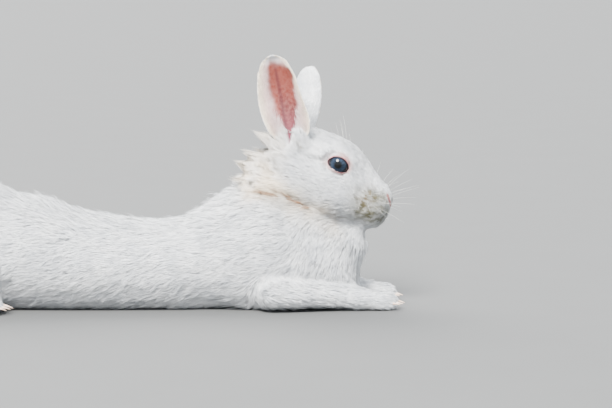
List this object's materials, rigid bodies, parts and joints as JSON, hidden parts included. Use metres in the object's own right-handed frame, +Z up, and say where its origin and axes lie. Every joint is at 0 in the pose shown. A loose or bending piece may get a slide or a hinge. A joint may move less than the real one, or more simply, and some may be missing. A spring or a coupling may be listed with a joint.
{
  "type": "young white rabbit",
  "caption": "Young white rabbit with blue eyes, lying on its chest with raised head, upright ears and haunches gathered under it.",
  "frame": {"origin": "on the floor under the belly, at the body's middle plane", "axes": "+X towards the nose along the body, +Y to the rabbit's left, +Z up"},
  "size_m": [0.3747, 0.124, 0.174],
  "materials": {
    "coat": "soft matt fur",
    "ear_skin": "thin, bare and soft",
    "eye": "wet gloss",
    "claw": "smooth horn"
  },
  "bodies": {
    "root": {"breast": "coat", "claw_fore_left_1": "claw", "claw_fore_left_2": "claw", "claw_fore_left_3": "claw", "claw_fore_left_4": "claw", "claw_fore_right_1": "claw", "claw_fore_right_2": "claw", "claw_fore_right_3": "claw", "claw_fore_right_4": "claw", "claw_hind_left_1": "claw", "claw_hind_left_2": "claw", "claw_hind_left_3": "claw", "claw_hind_left_4": "claw", "claw_hind_right_1": "claw", "claw_hind_right_2": "claw", "claw_hind_right_3": "claw", "claw_hind_right_4": "claw", "ear_left": "ear_skin", "ear_right": "ear_skin", "eye_left": "eye", "eye_right": "eye", "forearm_left": "coat", "forearm_right": "coat", "forepaw_left": "coat", "forepaw_right": "coat", "head": "coat", "hindfoot_left": "coat", "hindfoot_right": "coat", "neck": "coat", "tail": "coat", "thigh_left": "coat", "thigh_right": "coat", "trunk": "coat"}
  },
  "joints": []
}
